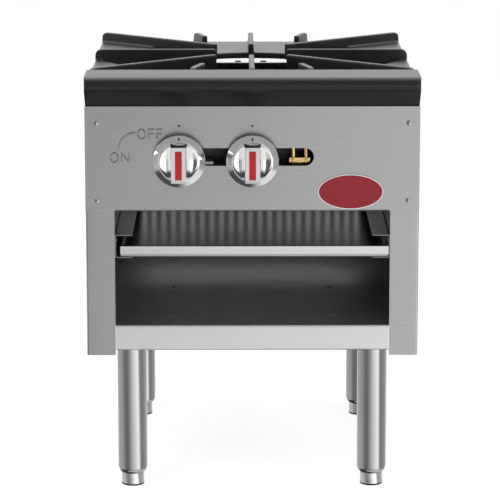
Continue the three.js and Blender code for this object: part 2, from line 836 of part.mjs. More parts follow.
function manifoldClamp() {
  const low = -manifoldRadius - clampBelow;
  const high = manifoldRadius + clampAbove;
  const front = -manifoldRadius - clampFront;
  const rear = baffleY - manifoldY - seat;
  const slope = clampAbove / 2;
  const outline = new THREE.Shape();
  outline.moveTo(front, low);
  outline.lineTo(rear, low);
  outline.lineTo(rear, high - slope);
  outline.lineTo(rear - 2 * slope, high);
  outline.lineTo(front + 1, high);
  outline.lineTo(front, high - slope / 2);
  return alongX(outline, [-clampWidth / 2, clampWidth / 2])
    .subtract(rod(manifoldRadius + seat, [-clampWidth, clampWidth], 'x', 24));
}

clampsX.forEach((x, i) => {
  addPart(`manifold_clamp_${i + 1}`, stainless, manifoldClamp(), [x, manifoldY, manifoldZ]);
});

const pilotBarBottom = manifoldTop + pilotBarAbovePipe;
const pilotBarTop = pilotBarBottom + pilotBarHeight;
const nutTop = slotZ + slotHeight / 2 + pilotNutRise;

function pilotValve() {
  const half = pilotSpacing / 2 + pilotBarEnd;
  const [barFront, barRear] = pilotBarY;
  const nutY = (barFront + barRear) / 2;
  const screwZ = (pilotBarBottom + pilotBarTop) / 2;
  const blockBottom = manifoldTop + pilotBarAbovePipe / 2;
  const bar = box([-half, half], pilotBarY, [pilotBarBottom, pilotBarTop]);
  const block = box(
    [-pilotStubRadius - 1, pilotStubRadius + 1],
    [barRear - 1, manifoldY + pilotStubRadius + 1],
    [blockBottom, pilotBarTop],
  );
  const stub = rod(pilotStubRadius, [manifoldTop + seat, blockBottom + 2], 'z', 16).translate([0, manifoldY, 0]);
  const nuts = [-1, 1].flatMap((way) => {
    const x = (way * pilotSpacing) / 2;
    return [
      rod(pilotNutRadius, [pilotBarTop - 1, nutTop], 'z', 12).translate([x, nutY, 0]),
      rod(pilotNutRadius - 0.6, [pilotBarBottom - 5, pilotBarBottom + 1], 'z', 12).translate([x, nutY, 0]),
      rod(pilotScrewRadius, [barFront - 1.4, barFront + 1], 'y', 10).translate([x, 0, screwZ]),
    ];
  });
  return joined([bar, block, stub, ...nuts]);
}

addPart('pilot_valve', brass, pilotValve(), [pilotX, 0, 0]);

const pilotHeads = [
  { name: 'outer', tubeX: pilotTubesX[1], x: 42, y: burnerY - outerRingRadius - 7, z: ringTop - 6 },
  { name: 'inner', tubeX: pilotTubesX[0], x: 17, y: burnerY - innerRingRadius - ringWidth / 2 - 7, z: ringTop - 6 },
];

function pilotTube({ tubeX, x, y, z }) {
  const startY = (pilotBarY[0] + pilotBarY[1]) / 2;
  return tubeAlong([
    [tubeX, startY, nutTop + seat],
    [tubeX, startY, nutTop + 10],
    [tubeX, startY + 8, pilotTubeZ - 2],
    [tubeX, baffleY - 10, pilotTubeZ],
    [tubeX, baffleY + 14, pilotTubeZ],
    [(tubeX + x) / 2, (baffleY + y) / 2 + 12, pilotTubeZ + 9],
    [x, y - 16, z + 12],
    [x, y, z + 8],
    [x, y, z + seat],
  ], pilotTubeRadius, 0, 6, 24);
}

// A pilot head's origin is the middle of its top, where its tube ends.
function pilotHead() {
  const collar = -5;
  const bottom = -11;
  const tipRadius = 3.2;
  const collarRadius = 4.6;
  return turned([
    [0, bottom],
    [tipRadius, bottom],
    [tipRadius, collar],
    [collarRadius, collar],
    [collarRadius, 0],
    [0, 0],
  ], 'z', 12);
}

for (const head of pilotHeads) {
  addPart(`${head.name}_pilot_tube`, aluminium, pilotTube(head));
  addPart(`${head.name}_pilot_head`, stainless, pilotHead(), [head.x, head.y, head.z]);
}

// ---------------------------------------------------------------- drip tray

function dripTray() {
  const right = guideInner - seat;
  const left = trayPlay - guideInner;
  const floor = guideBottom + sheet + seat;
  const top = floor + trayHeight;
  const front = stileFront + trayLipReach;
  const rear = front + trayDepth;
  const lipFront = stileFront + seat;
  const corner = bendRadius + traySheet / 2;
  const pan = (inset, above) => roundedRectangle(left + inset, right - inset, floor + inset, above, corner - inset);
  const outside = alongY(pan(0, top + 20), [front, rear], 4)
    .intersect(box([left, right], [front, rear], [floor, top]));
  const inside = alongY(pan(traySheet, top + 30), [front + traySheet, rear - traySheet], 4);
  return joined([
    outside.subtract(inside),
    box([left, right], [lipFront, front + traySheet], [top - traySheet, top]),
    box([left, right], [lipFront, lipFront + traySheet], [top - trayLipHeight, top]),
  ]);
}

addPart('drip_tray', mirrorSteel, dripTray());

// ---------------------------------------------------------------- shelf

function bottomShelf() {
  const middle = sheet / 2;
  const half = wallInner - seat;
  const front = stileFront + sheet + bendRadius;
  const rear = rearFlangeY - middle - bendRadius;
  const low = shelfTop - 20;
  const lip = alongX(foldedSheet([
    [front + 20, shelfTop - middle],
    [stileFront + middle - seat, shelfTop - middle],
    [stileFront + middle - seat, shelfTop - shelfLipHeight + middle],
    [stileFront + 13, shelfTop - shelfLipHeight + middle],
  ], sheet, bendRadius), [-openingHalf + 2 * seat, openingHalf - 2 * seat]);
  // The flanges turn down from the plate's edges, with a relief cut at each corner.
  const relief = 2 * sheet;
  const sideFlanges = [-1, 1].map((side) => box(
    [side * (half - sheet), side * half],
    [front + relief, rear - relief],
    [low, shelfTop - middle],
  ));
  const rearFlange = box([-half + relief, half - relief], [rear - sheet, rear], [low, shelfTop - middle]);
  const plate = box([-half, half], [front, rear], [shelfTop - sheet, shelfTop]);
  return joined([plate, ...sideFlanges, rearFlange, lip]);
}

addPart('bottom_shelf', stainless, bottomShelf());

function legChannel(side) {
  const middle = channelSheet / 2;
  const top = shelfTop - sheet - seat;
  const outline = foldedSheet([
    [side * (channelInner + middle), top - channelDepth],
    [side * (channelInner + middle), top - middle],
    [side * (channelOuter - middle), top - middle],
    [side * (channelOuter - middle), top - channelDepth],
  ], channelSheet, bendRadius + middle);
  return alongY(outline, [stileFront + flangeWidth, backInner - flangeWidth]);
}

for (const [name, side] of Object.entries(sides)) {
  addPart(`${name}_leg_channel`, stainless, legChannel(side));
}

// ---------------------------------------------------------------- legs and feet

const legBottom = footHeight + seat;
const legTaper = 8;

function leg() {
  const inner = legRadius - legWall;
  const neck = footRadius + 0.4;
  const stemHole = footStemRadius + seat;
  const plug = legBottom + 14;
  const tube = turned([
    [stemHole, legBottom],
    [neck, legBottom],
    [neck + 2.6, legBottom + legTaper * 0.3],
    [legRadius, legBottom + legTaper],
    [legRadius, legTop],
    [inner, legTop],
    [inner, plug],
    [stemHole, plug],
    [stemHole, legBottom],
  ], 'z');
  const half = legPlate / 2;
  const plate = box([-half, half], [-half, half], [legTop - 3, legTop]).subtract(rod(inner, [legTop - 4, legTop + 1], 'z'));
  return tube.add(plate);
}

function foot() {
  return turned([
    [0, 0],
    [footRadius - 1.4, 0],
    [footRadius, 1.4],
    [footRadius, footHeight],
    [footStemRadius, footHeight],
    [footStemRadius, footHeight + footStemLength],
    [0, footHeight + footStemLength],
  ], 'z');
}

for (const [sideName, side] of Object.entries(sides)) {
  for (const [endName, y] of Object.entries(legsY)) {
    addPart(`${endName}_${sideName}_leg`, stainless, leg(), [side * legX, y, 0]);
    addPart(`${endName}_${sideName}_foot`, footSteel, foot(), [side * legX, y, 0]);
  }
}

// ---------------------------------------------------------------- grate

// A rib between two points of the plan, in the grate's own frame, with its outer top corner rounded.
function rib(inner, outer) {
  const length = Math.hypot(outer[0] - inner[0], outer[1] - inner[1]);
  const outline = new THREE.Shape();
  outline.moveTo(0, 0);
  outline.lineTo(length, 0);
  outline.absarc(length - ribEndRadius, grateHeight - ribEndRadius, ribEndRadius, 0, Math.PI / 2);
  outline.lineTo(0, grateHeight);
  const turn = Math.atan2(outer[1] - inner[1], outer[0] - inner[0]);
  return alongY(outline, [-ribThickness / 2, ribThickness / 2], 5)
    .rotate([0, 0, (turn * 180) / Math.PI])
    .translate([inner[0], inner[1], 0]);
}

function grate() {
  const endX = grateHalfX - ribEndInset;
  const endY = grateHalfY - ribEndInset;
  const [innerX, innerY] = diagonalInner;
  const diagonalX = (y) => innerX + ((y - innerY) * (endX - innerX)) / (endY - innerY);
  const through = [-1, platePart + 1];
  const opening = (corners) => alongZ(new THREE.Shape(corners.map(([x, y]) => new THREE.Vector2(x, y))), through);
  // The plate is open between the diagonals at the front and both sides, and closed at the rear.
  const round = rod(holeRadius, through, 'z', 64)
    .translate([0, holeCentre, 0])
    .intersect(box([-innerX - 1, innerX + 1], [-innerY - 1, grateHalfY], through));
  const front = opening([
    [-innerX, -innerY],
    [-diagonalX(frontReach), -frontReach],
    [diagonalX(frontReach), -frontReach],
    [innerX, -innerY],
  ]);
  const sector = (side) => opening([
    [side * innerX, -innerY],
    [side * diagonalX(sideOpening.y), -sideOpening.y],
    [side * sideOpening.x, 0],
    [side * diagonalX(sideOpening.y), sideOpening.y],
    [side * innerX, innerY],
  ]);
  const plate = box([-grateHalfX, grateHalfX], [-grateHalfY, grateHalfY], [0, platePart])
    .subtract(joined([round, front, sector(-1), sector(1)]));
  const inOutline = box([-grateHalfX, grateHalfX], [-grateHalfY, grateHalfY], [0, grateHeight]);
  const signs = [-1, 1];
  const diagonals = signs.flatMap((sx) => signs.map((sy) => (
    rib([sx * innerX, sy * innerY], [sx * endX, sy * endY])
  )));
  const lugs = signs.flatMap((sx) => signs.map((sy) => (
    rib([sx * lugInner[0], sy * lugInner[1]], [sx * lugOuter[0], sy * lugOuter[1]])
  )));
  const across = signs.map((s) => rib([s * innerX, 0], [s * grateHalfX, 0]));
  const along = signs.map((s) => rib([0, s * innerY], [0, s * grateHalfY]));
  return joined([plate, ...diagonals, ...lugs, ...across, ...along]).intersect(inOutline);
}

addPart('grate', castIron, grate(), [0, burnerY, grateBottom]);

export default range;
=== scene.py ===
import math

import bmesh
import bpy
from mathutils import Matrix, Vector


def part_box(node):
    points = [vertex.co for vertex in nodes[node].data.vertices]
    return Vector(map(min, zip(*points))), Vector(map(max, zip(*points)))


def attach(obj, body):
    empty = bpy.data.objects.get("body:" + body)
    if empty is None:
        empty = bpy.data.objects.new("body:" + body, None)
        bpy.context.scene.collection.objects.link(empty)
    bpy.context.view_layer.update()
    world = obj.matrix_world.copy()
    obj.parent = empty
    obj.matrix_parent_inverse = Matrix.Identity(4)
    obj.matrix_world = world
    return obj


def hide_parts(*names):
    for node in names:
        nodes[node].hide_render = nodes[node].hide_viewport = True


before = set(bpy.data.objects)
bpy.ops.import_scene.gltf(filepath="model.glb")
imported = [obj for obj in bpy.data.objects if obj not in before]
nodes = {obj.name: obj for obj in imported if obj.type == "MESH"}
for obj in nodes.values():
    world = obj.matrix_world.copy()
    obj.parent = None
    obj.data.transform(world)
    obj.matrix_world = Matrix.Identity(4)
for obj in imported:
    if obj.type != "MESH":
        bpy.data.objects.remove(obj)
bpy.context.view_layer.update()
mm = 0.001

# ------------------------------------------------------------ dimensions
# Depths are behind the control panel's face, heights above the floor, all in millimetres.

panel_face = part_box("control_panel")[0].y
knob_low, knob_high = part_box("left_knob")
knob_z = (knob_low.z + knob_high.z) / 2 / mm
knobs_x = {"left": -100.0, "right": 0.0}
panel_dot_z = 523.0
sheet = 1.2
body_depth = 508.0
tray_lip = 2.2  # the drip tray's front lip ends before this depth
shelf_top = 244.5
weld_distance = 0.01


def at(x, depth, z):
    """A point of the part in the row frame, from millimetres."""
    return Vector((x * mm, panel_face + depth * mm, z * mm))


def beside(centre, x, depth, z):
    """The point of the row frame that lies some millimetres from a centre."""
    return centre + Vector((x, depth, z)) * mm


# ------------------------------------------------------------ material helpers

noise_span = (0.3, 0.7)  # a noise texture's values mostly lie between these
scratch_depth = 0.000002  # metres


class Shader:
    """One material: a Principled BSDF and the nodes that feed it."""

    def __init__(self, name, **values):
        self.material = bpy.data.materials.new(name)
        self.material.use_nodes = True
        self.tree = self.material.node_tree
        self.bsdf = self.tree.nodes["Principled BSDF"]
        for socket, value in values.items():
            self.bsdf.inputs[socket.replace("_", " ")].default_value = value

    def node(self, kind, **settings):
        made = self.tree.nodes.new(kind)
        for key, value in settings.items():
            setattr(made, key, value)
        return made

    def link(self, source, target):
        self.tree.links.new(source, target)

    def feed(self, socket, value):
        self.link(value, self.bsdf.inputs[socket])

    def place(self, stretch):
        """Object coordinates, in metres, multiplied by stretch along X, Y and Z."""
        coordinates = self.node("ShaderNodeTexCoord")
        mapping = self.node("ShaderNodeMapping")
        mapping.inputs["Scale"].default_value = stretch
        self.link(coordinates.outputs["Object"], mapping.inputs["Vector"])
        return mapping.outputs["Vector"]

    def noise(self, stretch, detail=3.0, roughness=0.5):
        texture = self.node("ShaderNodeTexNoise")
        texture.inputs["Scale"].default_value = 1.0
        texture.inputs["Detail"].default_value = detail
        texture.inputs["Roughness"].default_value = roughness
        self.link(self.place(stretch), texture.inputs["Vector"])
        return texture.outputs["Fac"]

    def spread(self, noise, middle, share):
        """A number that varies with a noise, by a share of its middle value either way."""
        ramp = self.node("ShaderNodeMapRange")
        limits = (*noise_span, middle * (1 - share), middle * (1 + share))
        for socket, limit in zip(("From Min", "From Max", "To Min", "To Max"), limits):
            ramp.inputs[socket].default_value = limit
        self.link(noise, ramp.inputs["Value"])
        return ramp.outputs["Result"]

    def colours(self, noise, low, high):
        """A colour that varies with a noise, from low to high."""
        ramp = self.node("ShaderNodeValToRGB")
        for element, position, colour in zip(ramp.color_ramp.elements, noise_span, (low, high)):
            element.position = position
            element.color = (*colour, 1.0)
        self.link(noise, ramp.inputs["Fac"])
        return ramp.outputs["Color"]

    def math(self, a, b, operation):
        made = self.node("ShaderNodeMath", operation=operation)
        for value, socket in ((a, made.inputs[0]), (b, made.inputs[1])):
            if isinstance(value, float):
                socket.default_value = value
            else:
                self.link(value, socket)
        return made.outputs["Value"]

    def blended(self, a, b, share):
        """A number of which a share comes from a and the rest from b."""
        return self.math(self.math(a, share, "MULTIPLY"), self.math(b, 1 - share, "MULTIPLY"), "ADD")

    def beyond(self, axis, limit):
        """1 where the place along an axis, in metres, is past the limit, and 0 elsewhere."""
        split = self.node("ShaderNodeSeparateXYZ")
        self.link(self.place((1.0, 1.0, 1.0)), split.inputs[0])
        return self.math(split.outputs[axis], limit, "GREATER_THAN")

    def mixed(self, factor, a, b):
        """The colour a where factor is 0 and b where it is 1."""
        made = self.node("ShaderNodeMix", data_type="RGBA")
        first, second, result = made.inputs[6], made.inputs[7], made.outputs[2]  # the sockets for colours
        self.link(factor, made.inputs["Factor"])
        self.link(a, first)
        self.link(b, second)
        return result

    def bump(self, height, distance):
        """Raises the surface where height is high, by up to distance, in metres."""
        made = self.node("ShaderNodeBump")
        made.inputs["Distance"].default_value = distance
        made.inputs["Strength"].default_value = 1.0
        self.link(height, made.inputs["Height"])
        self.feed("Normal", made.outputs["Normal"])


def grey(level, tint=(1.0, 1.0, 1.0)):
    return tuple(level * part for part in tint)


def brushed(name, stretch, level, rough, tint, axis="Z", turn=0.25, anisotropy=0.6, contrast=0.03,
            painted_shade_split=None, grazing=1.0):
    """Brushed sheet metal: stretch is the streaks' frequency along each axis, in waves per metre.

    The split for painted shade is (axis, limit, factor): past the limit the sheet's colour is multiplied by
    factor, so one part of the sheet is painted darker or paler than the rest.
    grazing is how strongly the sheet mirrors at a flat angle.
    """
    made = Shader(name, Metallic=1.0, Anisotropic=anisotropy, Anisotropic_Rotation=turn,
                  Specular_Tint=(*grey(grazing), 1.0))
    tangent = made.node("ShaderNodeTangent", direction_type="RADIAL", axis=axis)
    made.feed("Tangent", tangent.outputs["Tangent"])
    streaks = made.noise(stretch, detail=4.0, roughness=0.6)
    clouds = made.noise((6.0,) * 3, detail=2.0)
    both = made.blended(streaks, clouds, 0.75)
    low, high = grey(level * (1 - contrast), tint), grey(level * (1 + contrast), tint)
    colour = made.colours(both, low, high)
    # Painted shade: one part of the sheet gets a darker or paler copy of its colour.
    if painted_shade_split:
        along, limit, factor = painted_shade_split
        second = made.colours(both, grey(factor, low), grey(factor, high))
        colour = made.mixed(made.beyond(along, limit), colour, second)
    made.feed("Base Color", colour)
    made.feed("Roughness", made.spread(streaks, rough, 0.08))
    made.bump(streaks, scratch_depth)
    return made.material


def cast(name, level, rough, grain, depth):
    """Cast iron, enamel, painted pipe or rubber: fine pits over broad unevenness, paler where proud."""
    made = Shader(name, IOR=1.5)
    fine = made.noise((grain,) * 3, detail=5.0, roughness=0.65)
    broad = made.noise((45.0,) * 3)
    both = made.blended(fine, broad, 0.7)
    made.feed("Base Color", made.colours(both, grey(level * 0.6), grey(level * 1.5)))
    made.feed("Roughness", made.spread(fine, rough, 0.15))
    made.bump(both, depth)
    return made.material


def polished(name, colour, rough, grain, depth=scratch_depth, metallic=1.0):
    """Smooth metal with a faint unevenness in colour and gloss."""
    made = Shader(name, Metallic=metallic)
    clouds = made.noise((grain,) * 3, detail=4.0)
    low = tuple(part * 0.95 for part in colour)
    high = tuple(min(1.0, part * 1.05) for part in colour)
    made.feed("Base Color", made.colours(clouds, low, high))
    made.feed("Roughness", made.spread(clouds, rough, 0.2))
    made.bump(clouds, depth)
    return made.material


def plastic(name, low, high, rough, coat):
    """Plastic or print between two colours, under a thin clear coat."""
    made = Shader(name, Coat_Weight=coat, Coat_Roughness=0.08)
    clouds = made.noise((60.0,) * 3)
    made.feed("Base Color", made.colours(clouds, low, high))
    made.feed("Roughness", made.spread(clouds, rough, 0.15))
    made.bump(clouds, 0.00001)
    return made.material


# ------------------------------------------------------------ materials

steel_tint = (0.985, 1.0, 0.99)
lip_tint = (1.0, 0.99, 0.97)
streaks_upright = (14.0, 14.0, 560.0)
streaks_flat = (22.0, 600.0, 600.0)
flat = {"axis": "X", "turn": 0.0}
# Painted shade: the back panel's outer face is 1.25 times paler than its inner face, which is left darker to
# look shaded inside the body.
back_painted_shade_split = ("Y", panel_face + (body_depth - sheet / 2) * mm, 1.25)
# Painted shade: behind the lip, the drip tray's floor is 0.6 times darker than its lip.
tray_floor_painted_shade = ("Y", panel_face + tray_lip * mm, 0.6)

steel = brushed("steel_vertical", streaks_upright, 0.54, 0.28, steel_tint, anisotropy=0.85, contrast=0.05)
# Painted shade: the back panel is a darker copy of the panel steel on its inner face, and about as pale as
# the panel on its outer face.
back_steel_painted_shade = brushed("back_steel_painted_shade", streaks_upright, 0.43, 0.36, steel_tint, painted_shade_split=back_painted_shade_split)
# Painted shade: the pressed letters are a darker copy of the panel steel they are pressed from.
letter_steel_painted_shade = brushed("letter_steel_painted_shade", streaks_upright, 0.36, 0.12, steel_tint, anisotropy=0.0)
# Painted shade: the box liners are a much darker copy of the panel steel, as if shaded inside the body.
liner = brushed("liner_steel_painted_shade", streaks_upright, 0.22, 0.36, steel_tint)
# Painted shade: the tray guides are a darker copy of the panel steel, as if shaded inside the body.
guide_steel_painted_shade = brushed("guide_steel_painted_shade", streaks_flat, 0.3, 0.3, steel_tint, **flat)
# Painted light: the rear cross member is a pale, glossy copy of the panel steel, so it shows as a bright
# strip behind the grate.
cross_steel_painted_light = brushed("cross_steel_painted_light", streaks_flat, 0.85, 0.1, steel_tint, **flat, anisotropy=0.0)
# Painted light: the shelf and the leg channels are a much paler copy of the panel steel, so the shelf's lip
# looks lit.
shelf_steel_painted_light = brushed("shelf_steel_painted_light", streaks_flat, 0.87, 0.36, lip_tint, **flat, anisotropy=0.2)
# Painted light and shade: the drip tray is a paler copy of the panel steel so its lip looks lit, its floor is
# painted darker, and the whole tray mirrors less at a flat angle (grazing 0.42), which darkens the floor
# further.
tray_steel = brushed("tray_steel", (10.0, 300.0, 300.0), 0.73, 0.22, lip_tint, **flat, anisotropy=0.2,
                     painted_shade_split=tray_floor_painted_shade, grazing=0.42)
tube_steel = brushed("tube_steel", (400.0, 400.0, 7.0), 0.5, 0.15, steel_tint, turn=0.0, anisotropy=0.3)
dark_sheet = brushed("dark_sheet", (60.0, 60.0, 60.0), 0.12, 0.42, steel_tint, anisotropy=0.0)
screw_steel = polished("screw_steel", grey(0.6), 0.15, 400.0)
foot_steel = polished("foot_steel", grey(0.74), 0.26, 300.0)
chrome = polished("chrome", grey(0.88), 0.04, 40.0)
pearl = polished("pearl_chrome", grey(0.8), 0.3, 40.0, metallic=0.35)
brass = polished("brass", (0.88, 0.62, 0.27), 0.24, 300.0, depth=0.00001)
aluminium = polished("aluminium", grey(0.6), 0.3, 200.0)
black_pipe = cast("black_pipe", 0.02, 0.4, 200.0, 0.00003)
cast_iron = cast("cast_iron", 0.014, 0.34, 360.0, 0.00006)
enamel = cast("black_enamel", 0.007, 0.36, 900.0, 0.000004)
rubber = cast("rubber_black", 0.015, 0.55, 700.0, 0.00003)
red_plastic = plastic("red_plastic", (0.46, 0.006, 0.01), (0.56, 0.01, 0.015), 0.35, coat=0.1)
badge_red = plastic("badge_red", (0.31, 0.018, 0.026), (0.33, 0.022, 0.03), 0.5, coat=0.0)
badge_white = plastic("badge_white", grey(0.88), grey(0.92), 0.4, coat=0.1)
ink = plastic("ink_black", grey(0.006), grey(0.01), 0.4, coat=0.1)

legs = [f"{end}_{side}_leg" for end in ("front", "rear") for side in ("left", "right")]
feet = [f"{end}_{side}_foot" for end in ("front", "rear") for side in ("left", "right")]
screws = [f"panel_screw_{number}" for number in range(1, 5)]

finishes = {
    steel: ["control_panel", "left_side_panel", "right_side_panel"],
    back_steel_painted_shade: ["back_panel"],
    liner: ["left_box_liner", "right_box_liner"],
    guide_steel_painted_shade: ["left_tray_guide", "right_tray_guide"],
    cross_steel_painted_light: ["rear_cross_member"],
    shelf_steel_painted_light: ["bottom_shelf", "left_leg_channel", "right_leg_channel"],
    tray_steel: ["drip_tray"],
    tube_steel: legs,
    foot_steel: feet,
    dark_sheet: ["front_baffle", "front_burner_rest", "rear_burner_rest"],
    screw_steel: screws + ["left_guide_rivet", "right_guide_rivet", "left_air_shutter", "right_air_shutter",
                           "manifold_clamp_1", "manifold_clamp_2", "outer_pilot_head", "inner_pilot_head"],
    chrome: ["left_knob", "right_knob", "left_valve_stem", "right_valve_stem"],
    brass: ["left_gas_valve", "right_gas_valve", "pilot_valve", "gas_inlet"],
    aluminium: ["outer_pilot_tube", "inner_pilot_tube"],
    black_pipe: ["manifold", "supply_elbow", "supply_pipe"],
    cast_iron: ["grate", "outer_ring_burner", "inner_ring_burner", "outer_mixer_tube", "inner_mixer_tube"],
    enamel: ["front_rail"],
    red_plastic: ["left_knob_insert", "right_knob_insert"],
    badge_red: ["badge"],
}


def paint(piece, material):
    piece.data.materials.clear()
    piece.data.materials.append(material)


for material, names in finishes.items():
    for name in names:
        paint(nodes[name], material)

# ------------------------------------------------------------ rounded edges of the CAD nodes

sheet_metal = [
    "control_panel", "left_side_panel", "right_side_panel", "bottom_shelf", "drip_tray", "back_panel",
    "left_tray_guide", "right_tray_guide",
]
fittings = [
    "pilot_valve", "left_gas_valve", "right_gas_valve", "outer_ring_burner", "inner_ring_burner",
    "outer_mixer_tube", "inner_mixer_tube", "manifold", "supply_elbow", "supply_pipe", "gas_inlet",
    "left_knob_insert", "right_knob_insert", "left_guide_rivet", "right_guide_rivet",
]


def soften(piece, width, segments):
    """Rounds the edges of a CAD node and shades it smoothly, by modifiers only."""
    weld = piece.modifiers.new("weld", "WELD")
    weld.merge_threshold = weld_distance * mm
    bevel = piece.modifiers.new("rounded_edges", "BEVEL")
    bevel.width = width * mm
    bevel.segments = segments
    bevel.limit_method = "ANGLE"
    bevel.angle_limit = math.radians(38.0)
    shading = piece.modifiers.new("shading", "WEIGHTED_NORMAL")
    shading.weight = 80
    shading.keep_sharp = False


for names, width, segments in ((sheet_metal, 0.25, 2), (legs, 0.6, 3), (fittings + feet, 0.35, 2)):
    for name in names:
        soften(nodes[name], width, segments)

# ------------------------------------------------------------ mesh helpers

def linked(name, mesh, material, body):
    """An object for a mesh in the row frame, which rides on a CAD body."""
    piece = bpy.data.objects.new(name, mesh)
    bpy.context.scene.collection.objects.link(piece)
    paint(piece, material)
    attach(piece, body)
    return piece


def smooth(piece, angle):
    """Shades a piece smoothly, except at edges sharper than the angle."""
    piece.data.polygons.foreach_set("use_smooth", [True] * len(piece.data.polygons))
    piece.data.set_sharp_from_angle(angle=math.radians(angle))


def piece_from(name, vertices, faces, material, body="range_body", angle=30.0):
    """A smooth-shaded mesh piece from its corners, in metres, and its faces."""
    mesh = bpy.data.meshes.new(name)
    mesh.from_pydata([tuple(v) for v in vertices], [], faces)
    mesh.validate()
    built = bmesh.new()
    built.from_mesh(mesh)
    bmesh.ops.recalc_face_normals(built, faces=built.faces)
    built.to_mesh(mesh)
    built.free()
    piece = linked(name, mesh, material, body)
    smooth(piece, angle)
    return piece


def bridged(rings, closed_ends=True):
    """Faces between neighbouring rings of corner numbers; a ring of one number is a point."""
    faces = []
    for lower, upper in zip(rings, rings[1:]):
        count = max(len(lower), len(upper))
        for k in range(count):
            a, b = lower[k % len(lower)], lower[(k + 1) % len(lower)]
            c, d = upper[(k + 1) % len(upper)], upper[k % len(upper)]
            corners = list(dict.fromkeys((a, b, c, d)))
            if len(corners) >= 3:
                faces.append(corners)
    if closed_ends:
        faces += [ring for ring in (rings[0], rings[-1]) if len(ring) > 2]
    return faces


def numbered(sections):
    """The corners of all sections in one list, and the numbers of each section's corners."""
    vertices, rings = [], []
    for section in sections:
        rings.append(list(range(len(vertices), len(vertices) + len(section))))
        vertices += section
    return vertices, rings


def turned(name, profile, centre, axis, segments, material, body="range_body", angle=30.0):
    """A turned piece: profile is (radius, distance along the axis) from one end to the other."""
    sections = []
    for radius, along in profile:
        section = []
        for k in range(1 if radius == 0 else segments):
            turn = 2 * math.pi * k / segments
            across, over = radius * math.cos(turn), radius * math.sin(turn)
            place = (across, along, over) if axis == "Y" else (across, over, along)
            section.append(beside(centre, *place))
        sections.append(section)
    vertices, rings = numbered(sections)
    return piece_from(name, vertices, bridged(rings), material, body, angle)


def rounded_outline(half_x, half_z, radius, steps=8):
    """The corners of a rounded rectangle, anticlockwise."""
    outline = []
    for quarter, (sx, sz) in enumerate(((1, 1), (-1, 1), (-1, -1), (1, -1))):
        for k in range(steps + 1):
            turn = math.pi / 2 * (quarter + k / steps)
            outline.append((
                sx * (half_x - radius) + radius * math.cos(turn),
                sz * (half_z - radius) + radius * math.sin(turn),
            ))
    return outline


def arc(x, z, radius_x, radius_z, start, end, steps):
    """Points of an elliptical arc between two angles in degrees."""
    points = []
    for k in range(steps):
        turn = math.radians(start + (end - start) * k / (steps - 1))
        points.append((x + radius_x * math.cos(turn), z + radius_z * math.sin(turn)))
    return points


# ------------------------------------------------------------ knobs

skirt = [
    (0, -11.0), (33.4, -11.0), (35.3, -11.1), (35.9, -11.6), (36.0, -12.4), (35.75, -13.0), (35.4, -13.25),
    (29.1, -17.66), (28.8, -17.9), (28.3, -18.35), (27.6, -18.6), (26.9, -18.4), (26.6, -18.1),
    (26.3, -17.98), (23.0, -17.5), (19.5, -16.98), (16.0, -16.53), (12.0, -16.13), (6.0, -15.8), (0, -15.7),
]
# The grip from its root to its face: half width, half length, corner radius and depth.
grip = [
    (13.4, 26.2, 3.0, -14.0), (12.8, 25.8, 2.6, -18.0), (12.0, 25.4, 2.2, -25.0), (11.2, 25.0, 1.8, -36.0),
    (10.5, 24.7, 1.4, -47.5), (10.2, 24.3, 1.1, -48.3), (9.6, 20.1, 0.7, -50.0),
]
grip_shoulder = -48.3
insert_low, insert_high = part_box("left_knob_insert")
insert_half = ((insert_high - insert_low) / 2) / mm
insert_gap = 0.35
pocket = (insert_half.x + insert_gap, insert_half.z + insert_gap, 0.3)
pocket_floor = -49.1
# The index mark lies on a cone of the skirt, which starts at this radius and depth and rises inwards.
cone_radius, cone_depth = 35.6, -13.1
cone_slope = 4.7 / 6.7
cone_normal = Vector((0, -1.43, 1)).normalized()
mark_inner, mark_outer = 28.9, 32.6
mark_half = 1.1
mark_sunk, mark_proud = -0.4, 0.12
panel_dot = [(0, 0.2), (1.5, 0.2), (1.5, -0.15), (1.1, -0.3), (0, -0.35)]


def knob_grip(side, centre):
    """The grip. Its face is of a paler metal and has a pocket for the insert."""
    sections = [
        [beside(centre, x, depth, z) for x, z in rounded_outline(half_x, half_z, radius)]
        for half_x, half_z, radius, depth in grip
    ]
    for depth in (grip[-1][3], pocket_floor):
        sections.append([beside(centre, x, depth, z) for x, z in rounded_outline(*pocket)])
    vertices, rings = numbered(sections)
    body = f"{side}_knob"
    bar = piece_from(f"{side}_knob_grip", vertices, bridged(rings), chrome, body, angle=14.0)
    bar.data.materials.append(pearl)
    for face in bar.data.polygons:
        if face.center.y < at(0, grip_shoulder - 0.1, 0).y:
            face.material_index = 1


def knob_mark(side, centre):
    """The index line at the top of the skirt's cone."""
    outline = [
        (mark_outer, mark_sunk), (mark_inner, mark_sunk),
        (mark_inner, mark_proud), (mark_outer, mark_proud),
    ]
    sections = []
    for x in (-mark_half, mark_half):
        section = []
        for radius, lift in outline:
            foot = Vector((x, cone_depth - (cone_radius - radius) * cone_slope, radius))
            section.append(beside(centre, *(foot + cone_normal * lift)))
        sections.append(section)
    vertices, rings = numbered(sections)
    piece_from(f"{side}_knob_mark", vertices, bridged(rings), ink, f"{side}_knob")


for side, x in knobs_x.items():
    centre = at(x, 0, knob_z)
    body = f"{side}_knob"
    shell = turned(f"{side}_knob_skirt", skirt, centre, "Y", 128, chrome, body, angle=40.0)
    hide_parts(f"{side}_knob")
    knob_grip(side, centre)
    knob_mark(side, centre)
    turned(f"{side}_panel_dot", panel_dot, at(x, 0, panel_dot_z), "Y", 24, ink)

# ------------------------------------------------------------ pressed lettering

